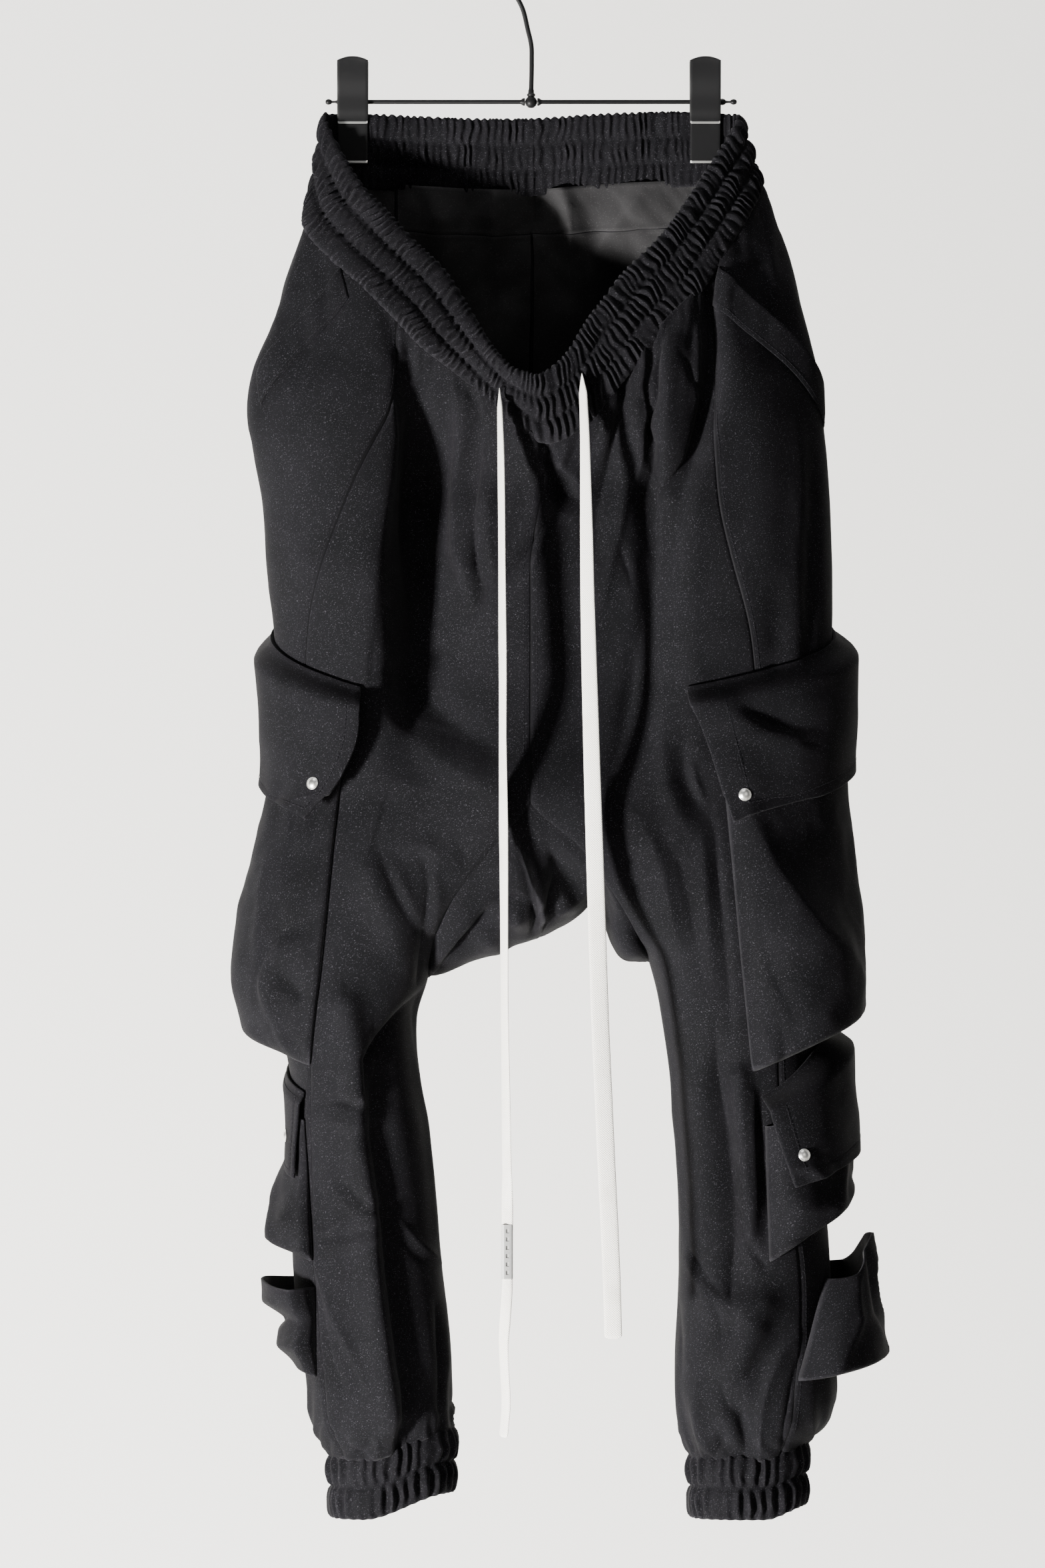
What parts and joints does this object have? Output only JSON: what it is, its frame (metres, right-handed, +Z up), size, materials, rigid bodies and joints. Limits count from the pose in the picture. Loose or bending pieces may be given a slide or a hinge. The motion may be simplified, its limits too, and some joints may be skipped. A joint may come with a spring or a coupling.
{
  "type": "harem pants on a clip hanger",
  "caption": "Cargo harem pants with a gathered V waist, dropped gusset crotch, flapped bellows pockets, elastic cuffs and long drawcords, hung by the back waistband from a clip hanger.",
  "frame": {"origin": "inner top of the hanger's hook, where a rail carries it", "axes": "+Z up, the garment's front faces -Y, +X towards the wearer's left leg, which is the picture's right"},
  "size_m": [0.4635, 0.169, 1.1345],
  "materials": {
    "black_jersey": "matte heavy jersey with a brushed grey inside",
    "black_steel": "satin black paint",
    "white_braid": "off-white flat braid",
    "silver": "bright nickel plate"
  },
  "bodies": {
    "root": {"waistband": "black_jersey", "front_l": "black_jersey", "front_r": "black_jersey", "side_l": "black_jersey", "side_r": "black_jersey", "back_l": "black_jersey", "back_r": "black_jersey", "back_yoke": "black_jersey", "gusset": "black_jersey", "cuff_l": "black_jersey", "cuff_r": "black_jersey", "upper_bag_l": "black_jersey", "upper_bag_r": "black_jersey", "upper_flap_l": "black_jersey", "upper_flap_r": "black_jersey", "lower_bag_l": "black_jersey", "lower_bag_r": "black_jersey", "lower_flap_l": "black_jersey", "lower_flap_r": "black_jersey", "calf_bag_l": "black_jersey", "calf_bag_r": "black_jersey", "hand_pocket_l": "black_jersey", "hand_pocket_r": "black_jersey", "hook": "black_steel", "ball": "black_steel", "bar_l": "black_steel", "bar_r": "black_steel", "clip_front_l": "black_steel", "clip_front_r": "black_steel", "clip_back_l": "black_steel", "clip_back_r": "black_steel", "clip_spring_l": "black_steel", "clip_spring_r": "black_steel", "drawcord_l": "white_braid", "drawcord_r": "white_braid", "cord_clamp": "silver", "upper_snap_l": "silver", "upper_snap_r": "silver", "lower_snap_l": "silver", "lower_snap_r": "silver"}
  },
  "joints": []
}
